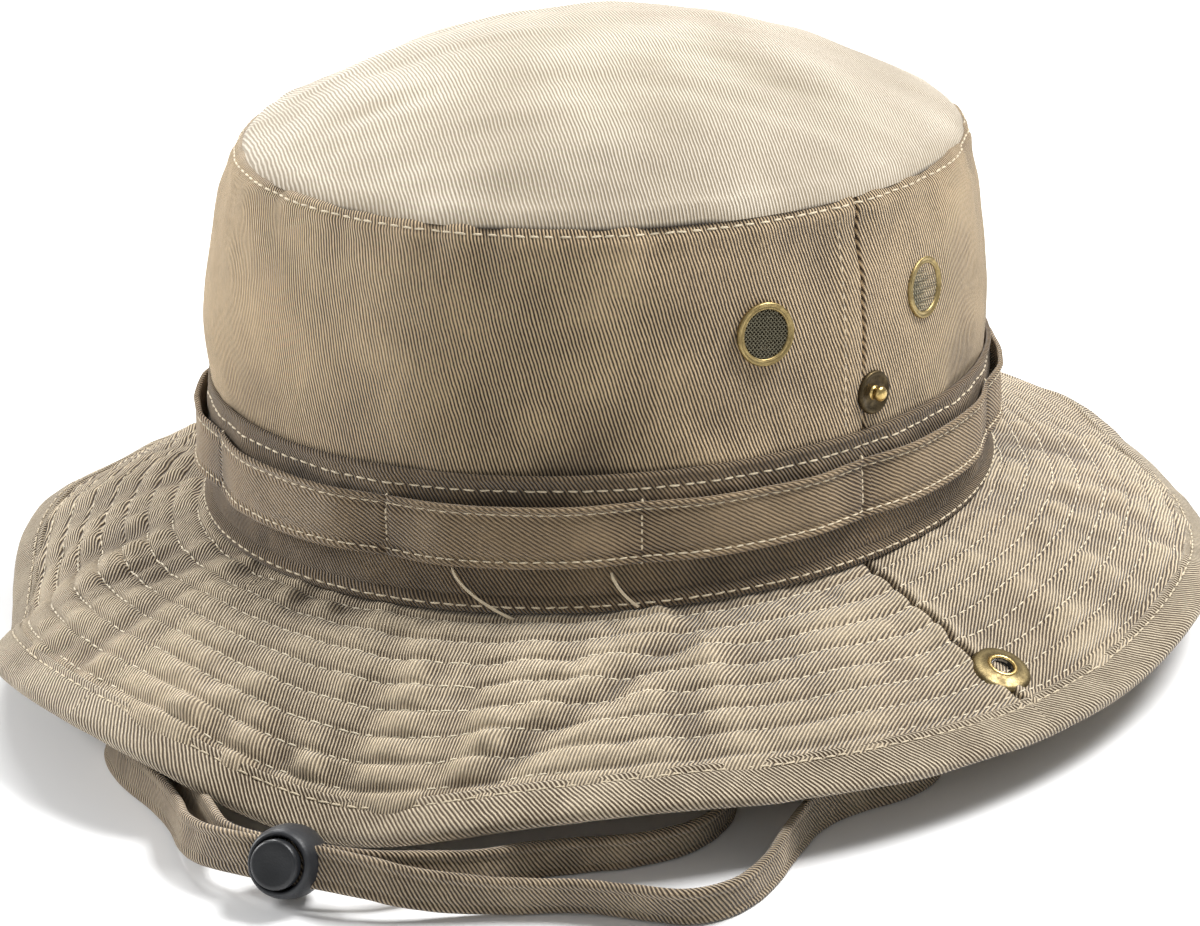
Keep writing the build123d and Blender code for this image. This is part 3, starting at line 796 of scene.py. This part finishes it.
def make_stitches():
    turn = np.radians(np.linspace(-90, 270, 1800))

    def band_surface(phi, height):
        return wall_point(phi, height, 1.5 + band_relief(phi, height))

    def tape_surface(phi, height):
        return wall_point(phi, height, 2.75 + tape_relief(phi, height))

    def foot_surface(phi, height):
        return wall_point(phi, height, 2.65 + 0 * phi)

    def sew(name, rows, slot_name, *sizes, seed):
        fit(thread_mesh(name, rows, top_thread, *sizes, seed=seed), "hat", slot_name)

    sew("top_seam_stitching", [row_on(crown_wall, turn, CROWN_H - 2.2, lift=0.1)], "crown_twill", seed=1)
    rows = [
        row_on(band_surface, turn, BAND_STITCH, lift=0.12),
        row_on(foot_surface, turn, BASE_STITCH - 1.0, lift=0.1),
    ]
    sew("hatband_stitching", rows, "crown_twill", seed=2)
    rows = [row_on(tape_surface, turn, h, lift=0.1) for h in (TAPE_LOW + 1.6, TAPE_HIGH - 1.6)]
    sew("loop_tape_stitching", rows, "webbing", 2.1, 2.7, 0.42, seed=3)
    rows, heights = [], np.linspace(TAPE_LOW - 0.6, TAPE_HIGH + 0.6, 40)[:, None]
    for azimuth in TACKS:
        phi = np.full((40, 1), math.radians(azimuth))
        rows.append(outward(wall_point(phi, heights, 2.5 + tape_relief(phi, heights))[:, 0]))
    sew("loop_tape_tacks", rows, "webbing", 1.9, 1.7, 0.75, seed=4)
    rows, heights = [], np.linspace(BAND_TOP + 1, CROWN_H - 3, 80)[:, None]
    for side in (1, -1):
        phi = np.full((80, 1), side * (math.radians(90) - 5.6 / SEAM_R))
        rows.append(outward(crown_wall(phi, heights)[:, 0]))
    sew("side_seam_stitching", rows, "crown_twill", 2.0, 2.7, 0.36, seed=5)

    def over(phi, reach):
        return brim_point(phi, reach, 1.75)

    def beneath(phi, reach):
        return brim_point(phi, reach, -1.75)

    edge = BINDING_START + 2.0
    for side_name, sign, low, high in (("left", 1, 0.2, 179.8), ("right", -1, 180.2, 359.8)):
        phi = np.radians(np.linspace(low, high, 1500))
        upper = [row_on(brim_top, phi, reach, up=-1, lift=0.1) for reach in ROWS]
        lower = [row_on(brim_under, phi, reach, lift=0.1) for reach in ROWS]
        binding = [row_on(over, phi, edge, up=-1, lift=0.05), row_on(beneath, phi, edge, lift=0.05)]
        for name, rows, material, thick, seed, slot_name in (
            ("quilting", upper, quilt_thread, 0.42, 6, "brim_twill"),
            ("quilting_under", lower, quilt_thread, 0.42, 9, "brim_twill"),
            ("binding_stitching", binding, top_thread, 0.46, 12, "binding"),
        ):
            obj = thread_mesh(f"{name}_{side_name}", rows, material, 2.4, 3.1, thick, seed=seed + sign)
            bend_up(obj)


def make_loose_threads():
    """Two thread ends that hang over the foot of the hatband."""
    for number, (azimuth, turn, low, high) in enumerate(((31.0, 9.0, -1.6, 10.5), (52.0, 3.5, 1.0, 9.5))):
        share = np.linspace(0, 1, 30)[:, None]
        phi = np.radians(azimuth + turn * share**1.6)
        height = high + (low - high) * share
        path = wall_point(phi, height, 3.3 + 0.7 * np.sin(math.pi * share))[:, 0]
        upright = np.tile([0, 0, 1.0], (30, 1))
        fit(ribbon(f"loose_thread_{number}", path, upright, top_thread, 0.34, 0.3), "hat", "crown_twill")


# --- fittings ---
def place_on(origin, normal):
    """A placing matrix with its Z along a normal, from an origin in millimetres."""
    z = Vector(normal).normalized()
    x = Vector((0, 0, 1)).cross(z)
    x = x.normalized() if x.length > 1e-6 else Vector((1, 0, 0))
    y = z.cross(x)
    turn = Matrix((x, y, z)).transposed().to_4x4()
    return Matrix.Translation(Vector(origin) * MM) @ turn


def wall_place(side, y, height, out):
    """A placing matrix on the crown's wall, as the frame's fittings have it."""
    half_y = HEAD_Y - TAPER_Y * (height / CROWN_H) ** 2
    phi = math.atan2(side * math.sqrt(1 - (y / half_y) ** 2), -y / half_y)
    origin = wall_point(phi, height, out)
    return place_on(origin, wall_point(phi, height, out + 1) - origin)


def make_vents():
    ring = [(5.45, -1.2), (5.5, 0.5), (5.6, 0.85), (5.85, 0.95), (6.1, 0.8), (6.3, 0.8), (6.55, 1.05),
            (6.85, 1.1), (7.1, 0.8), (7.15, 0.3), (6.9, -0.3), (6.2, -0.4)]
    # A dark disc behind the wire is painted shade, standing in for the shaded hole into the crown.
    back = [(0.01, -0.1), (2.5, -0.1), (5.6, -0.1)]
    for side_name, side in SIDES:
        for end_name, y in VENT_Y.items():
            name = f"{side_name}_{end_name}"
            place = wall_place(side, y, VENT_Z, 0.15)
            fit(lathe(f"vent_ring_{name}", ring, place, old_brass), "hat", "brass", f"vent_eyelet_{name}")
            fit(wire_mesh(f"vent_wires_{name}", 5.65, place), "hat", "vent_wire", f"vent_mesh_{name}")
            # painted shade: a dark disc behind the wire
            fit(lathe(f"vent_back_{name}", back, place, dark_brass_and_shade, 40), "hat", "vent_wire")


def wire_mesh(name, radius, place, pitch=0.7, thick=0.36):
    """A disc of plain-woven wire: each wire is a thin tube that goes over and under those it crosses."""
    sides, count = 5, int(radius / pitch)
    points, faces, base = [], [], 0
    around = np.linspace(0, 2 * np.pi, sides, endpoint=False)
    for turned in (False, True):
        for i in range(-count, count + 1):
            at = i * pitch
            reach = math.sqrt(max(radius**2 - at**2, 0))
            if reach < pitch:
                continue
            run = np.linspace(-reach, reach, max(6, int(4 * reach / pitch)))
            wave = 0.16 * np.cos(np.pi * run / pitch + np.pi * (i % 2) + (np.pi if turned else 0))
            x = np.repeat(run, sides)
            y = at + np.tile(np.cos(around) * thick / 2, len(run))
            z = 0.35 + np.repeat(wave, sides) + np.tile(np.sin(around) * thick / 2, len(run))
            points.append(np.stack((y, x, z) if turned else (x, y, z), axis=-1))
            faces.append(grid_faces(len(run), sides, closed=True) + base)
            base += len(run) * sides
    obj = new_object(name, np.concatenate(points), np.concatenate(faces), wire_steel)
    obj.matrix_world = place @ Matrix.Rotation(math.radians(38), 4, "Z")
    return obj


def cad_place(node, normal):
    """A placing matrix at the middle of a CAD node's box."""
    low, high = (np.array(corner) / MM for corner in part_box(node))
    return place_on((low + high) / 2, normal)


def make_snaps():
    ball = [(0.01, 3.65), (0.8, 3.6), (1.4, 3.35), (1.75, 2.9), (1.8, 2.45), (1.55, 2.0), (1.25, 1.6),
            (1.3, 1.15), (1.7, 0.9)]
    flange = [(1.5, 0.95), (2.3, 0.75), (3.1, 0.7), (3.7, 0.95), (4.3, 1.2), (4.8, 1.15), (5.0, 0.8),
              (5.0, 0.3), (4.8, -0.2)]
    # The black cup in the socket's hole is painted shade for its dark hollow.
    shade_cup = [(0.01, 0.1), (2.3, 0.1), (2.5, 0.3), (2.5, 1.95)]
    rim = [(2.5, 1.9), (2.65, 2.25), (3.0, 2.35), (3.35, 2.25), (3.6, 2.0)]
    plate = [(3.55, 2.05), (4.3, 1.75), (5.2, 1.6), (6.0, 1.5), (6.6, 1.25), (6.95, 0.8), (7.0, 0.3),
             (6.8, -0.3)]
    cap = [(0.01, 1.15), (2.2, 1.1), (4.4, 0.95), (5.7, 0.7), (6.35, 0.35), (6.5, 0.0), (6.4, -0.4)]
    slope = math.radians(BRIM_ANGLE)
    for name, side in SIDES:
        place = wall_place(side, SNAP_Y, STUD_Z, 0.1)
        fit(lathe(f"snap_ball_{name}", ball, place, bright_brass, 48), "hat", "brass", f"snap_stud_{name}")
        fit(lathe(f"snap_flange_{name}", flange, place, dark_brass_and_shade, 64), "hat", "brass")

        middle = cad_place(f"snap_socket_{name}", (side * math.sin(slope), 0, math.cos(slope)))
        over = middle @ Matrix.Translation((0, 0, -1.2 * MM))
        under = middle @ Matrix.Translation((0, 0, -3.3 * MM)) @ Matrix.Rotation(math.pi, 4, "X")
        for part, profile, place, material, *nodes in (
            ("socket_rim", rim, over, bright_brass),
            ("socket_plate", plate, over, worn_brass, f"snap_socket_{name}"),
            # painted shade: a black cup fills the socket's hole
            ("socket_well", shade_cup, over, black_plastic),
            ("back", cap, under, old_brass, f"snap_cap_{name}"),
        ):
            fit(lathe(f"snap_{part}_{name}", profile, place, material, 64), f"brim_{name}", "brass", *nodes)


# --- chin strap and cord lock ---
LOCK_CENTRE = Vector((70.0, -154.0, -28.3))
HEADING, TILT = math.radians(27), math.radians(20)  # of the strap through the lock, and of the lock's button
STRAND_APART = 1.3
STRAP_WIDE, STRAP_THICK = 9.0, 1.7
TAB_X, TAB_FOOT = 80.2, -4.0


def lock_point(along, across):
    """A point from the lock's middle, along the strap and towards the button."""
    strap = Vector((math.cos(HEADING), math.sin(HEADING), 0))
    button = Vector((math.sin(HEADING) * math.cos(TILT), -math.cos(HEADING) * math.cos(TILT), math.sin(TILT)))
    return tuple(LOCK_CENTRE + strap * along + button * across)


ROUTE = [
    (TAB_X, 0, TAB_FOOT), (TAB_X, 0, -12), (83, 0.5, -20.5), (91, 0, -27.5), (102, -1, -31.5),
    (115, -5, -33), (123, -15, -33), (124.5, -27, -33), (121, -39, -33), (121, -52, -33),
    (127, -65, -33), (133.5, -78, -33), (137.5, -91, -33), (133.5, -103, -33), (123.5, -108.5, -33),
    (114.5, -115, -33), (106, -124.5, -33), (100, -132.5, -32), (93.5, -141, -30.3),
    lock_point(14.5, STRAND_APART), lock_point(-14.5, STRAND_APART), (43.5, -160.8, -30.3), (31, -154, -31.6),
    (18, -150, -32.4), (4, -147.5, -33), (-8, -143.5, -33), (-18, -135, -33), (-21, -124, -33),
    (-14.5, -116, -33), (-4, -118.5, -33), (1, -128.5, -33), (7, -138.5, -33), (19, -145, -32.4),
    (31, -148.5, -31.4), (43.5, -154, -29.8),
    lock_point(-14.5, -STRAND_APART), lock_point(14.5, -STRAND_APART), (89, -134, -30.6), (94, -123, -32.2),
    (96.5, -111.5, -33), (102.5, -101.5, -33), (109.5, -91, -33), (112.5, -78, -33), (108.5, -64, -33),
    (98, -53, -33), (81, -45, -33), (58, -38, -33), (30, -33, -33), (0, -28.5, -33), (-28, -21, -33),
    (-50, -12.5, -32.5), (-66, -4.5, -30), (-76, -0.5, -23), (-TAB_X, 0, -13.5), (-TAB_X, 0, TAB_FOOT),
]


def spline_points(route):
    """Points along the smooth curve that a route's points control, in millimetres."""
    curve = bpy.data.curves.new("route", "CURVE")
    curve.dimensions = "3D"
    spline = curve.splines.new("NURBS")
    spline.points.add(len(route) - 1)
    for point, place in zip(spline.points, route):
        point.co = (*(Vector(place) * MM), 1)
    spline.order_u = 3
    spline.use_endpoint_u = True
    spline.resolution_u = 10
    holder = bpy.data.objects.new("route", curve)
    line = bpy.data.meshes.new_from_object(holder)
    points = np.array([v.co[:] for v in line.vertices]) / MM
    bpy.data.objects.remove(holder)
    bpy.data.curves.remove(curve)
    bpy.data.meshes.remove(line)
    return points


def ribbon(name, path, width_way, material, wide, thick):
    """A folded tape along a path. `width_way` gives the tape's width direction at each point."""
    half, t = wide / 2, thick / 2
    across = np.linspace(-half + 0.5, half - 0.5, 19)
    from_edge = half - np.abs(across)
    face = list(zip(across, t * (1 + 0.25 * bump(from_edge - 1.0, 0.7) - 0.3 * bump(from_edge - 2.1, 0.35))))
    section = face.copy()
    section += [(half - 0.12, t * 0.75), (half, 0), (half - 0.12, -t * 0.75)]
    section += [(x, -y) for x, y in reversed(face)]
    section += [(-half + 0.12, -t * 0.75), (-half, 0), (-half + 0.12, t * 0.75)]
    across, lift = np.array(section).T
    along = unit(np.gradient(path, axis=0))
    way = unit(width_way - along * np.sum(width_way * along, axis=1, keepdims=True))
    face_way = np.cross(along, way)
    run = run_along(path)
    crimp = 0.16 * lumps(run[:, None] / 5.0, across[None, :] / 5 + 20 * np.sign(lift)[None, :], 41)
    points = (
        path[:, None] + way[:, None] * across[None, :, None]
        + face_way[:, None] * (lift[None, :] + crimp * np.sign(lift)[None, :])[..., None]
    )
    # Painted shade and light from the tape's crimp.
    place = stacked(run[:, None], run_along(np.array(section))[None, :], crimp * 3)
    faces = grid_faces(len(path), len(section), closed=True)
    return new_object(name, points.reshape(-1, 3), faces, material, place.reshape(-1, 3))


def strap_ways(path):
    """The tape hangs flat from its tabs, and turns on edge where it lies on the floor."""
    run = run_along(path)
    from_end = np.minimum(run, run[-1] - run)
    edge = smooth(from_end, 6, 48)[:, None]
    lean = 0.22 * np.sin(run / 37)[:, None] + 0.12 * np.sin(run / 17 + 1)[:, None]
    sideways = np.cross(unit(np.gradient(path, axis=0)), np.array([0, 0, 1.0]))
    flat = np.where((run < run[-1] / 2)[:, None], np.array([0, 1.0, 0]), np.array([0, -1.0, 0]))
    near_lock = bump(np.linalg.norm(path - np.array(LOCK_CENTRE), axis=1), 22)[:, None]
    lean_x, lean_y = -math.sin(HEADING) * math.sin(TILT), math.cos(HEADING) * math.sin(TILT)
    in_lock = np.array([lean_x, lean_y, math.cos(TILT)])
    on_edge = np.array([0, 0, 1.0]) * (1 - near_lock) + in_lock * near_lock
    return flat * (1 - edge) + (on_edge + sideways * lean * (1 - near_lock)) * edge


def make_lock():
    """The ball-shaped cord lock and its push button, in the looks of the frame's barrel and button."""
    place = place_on(LOCK_CENTRE, Vector(lock_point(0, 1)) - LOCK_CENTRE)
    ball = [(0.01, -8.6), (2.6, -8.5), (4.7, -7.7), (6.3, -6.1), (7.3, -3.9), (7.7, -1.4), (7.7, 0.8),
            (7.45, 3.0), (7.0, 4.6), (6.65, 5.4), (6.25, 5.7), (5.85, 5.6), (5.65, 5.2), (5.6, 3.0),
            (5.5, 2.0)]
    disc = [(0.01, 7.75), (2.6, 7.8), (4.2, 8.0), (4.7, 7.95), (5.05, 7.6), (5.2, 7.0), (5.2, 5.5)]
    shells = []
    for name, profile, body, material in (
        ("body", ball, "cord_lock", black_plastic), ("button", disc, "lock_button", black_button)
    ):
        shell = lathe(f"lock_{name}_shell", profile, place, material, 96)
        shells.append(fit(shell, body, "black_plastic", f"cord_lock_{name}"))
    return [*shells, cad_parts["cord_lock_spring"]]


def make_strap(lock_pieces):
    path = spline_points(ROUTE)
    strap = ribbon("strap_tape", path, strap_ways(path), strap_cloth, STRAP_WIDE, STRAP_THICK)
    fit(strap, "hat", "strap_tape", "chin_strap")
    for name, side in SIDES:
        line = np.array([(side * TAB_X, 0, z) for z in np.linspace(TAB_FOOT - 2, 12, 24)])
        ways = np.tile(np.array([0, 1.0, 0]), (24, 1))
        tab = ribbon(f"strap_tab_cloth_{name}", line, ways, strap_cloth, 10, 2.3)
        fit(tab, "hat", "strap_tape", f"strap_tab_{name}")


def dress_cad():
    """The frame's own pieces that show, in better materials."""
    looks = {"cord_lock_spring": spring_steel}
    for side, _ in SIDES:
        looks |= {f"snap_post_{side}": old_brass, f"socket_spring_{side}": spring_steel}
        looks |= {f"vent_washer_{side}_{end}": old_brass for end in VENT_Y}
    for node, material in looks.items():
        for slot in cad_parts[node].material_slots:
            slot.material = material


# --- stage ---
FLOOR_HALF = 4000.0


def make_stage():
    corners = ((-1, -1), (1, -1), (1, 1), (-1, 1))
    points = np.array([(x * FLOOR_HALF, y * FLOOR_HALF, FLOOR_Z) for x, y in corners])
    n = Nodes("pale_floor")
    tone = n.mix(n.noise(n.where(), 3.0, 2.0), (0.86, 0.86, 0.86, 1), (0.9, 0.9, 0.9, 1))
    n.look(Base_Color=tone, Roughness=0.7, Specular_IOR_Level=0.2)
    floor = new_object("floor", points, np.array([(0, 1, 2, 3)]), n.material)

    world = bpy.data.worlds.new("studio")
    bpy.context.scene.world = world
    world.use_nodes = True
    background = world.node_tree.nodes["Background"]
    background.inputs["Color"].default_value = (1, 1, 1, 1)
    background.inputs["Strength"].default_value = 0.32

    for name, place, power, size in (
        ("overhead", (0.4, 0.55, 1.15), 25, 0.5),
        ("back_left", (-1.1, 0.45, 0.9), 13, 0.5),
        ("front_fill", (0.9, -1.3, 0.6), 2.0, 0.6),
        ("left_fill", (-1.35, -0.75, 0.6), 25, 0.4),
    ):
        light = bpy.data.lights.new(name, "AREA")
        light.energy, light.size = power, size
        holder = bpy.data.objects.new(name, light)
        bpy.context.collection.objects.link(holder)
        holder.location = place
        holder.rotation_euler = (Vector((0, 0, 0.03)) - Vector(place)).to_track_quat("-Z", "Y").to_euler()

    camera = bpy.data.objects.new("camera", bpy.data.cameras.new("camera"))
    bpy.context.collection.objects.link(camera)
    camera.location = Vector((556.8, -520.3, 288.5)) * MM
    aim = Vector((8.7, -10.1, 4.4)) * MM
    camera.rotation_euler = (aim - camera.location).to_track_quat("-Z", "Y").to_euler()
    camera.data.sensor_width = 36
    camera.data.lens = 99.8
    camera.data.clip_start, camera.data.clip_end = 0.02, 50
    bpy.context.scene.camera = camera
    bpy.context.scene.view_settings.view_transform = "Standard"


make_stage()
make_strap(make_lock())
make_crown()
make_bands()
make_brim()
make_stitches()
make_loose_threads()
make_vents()
make_snaps()
dress_cad()
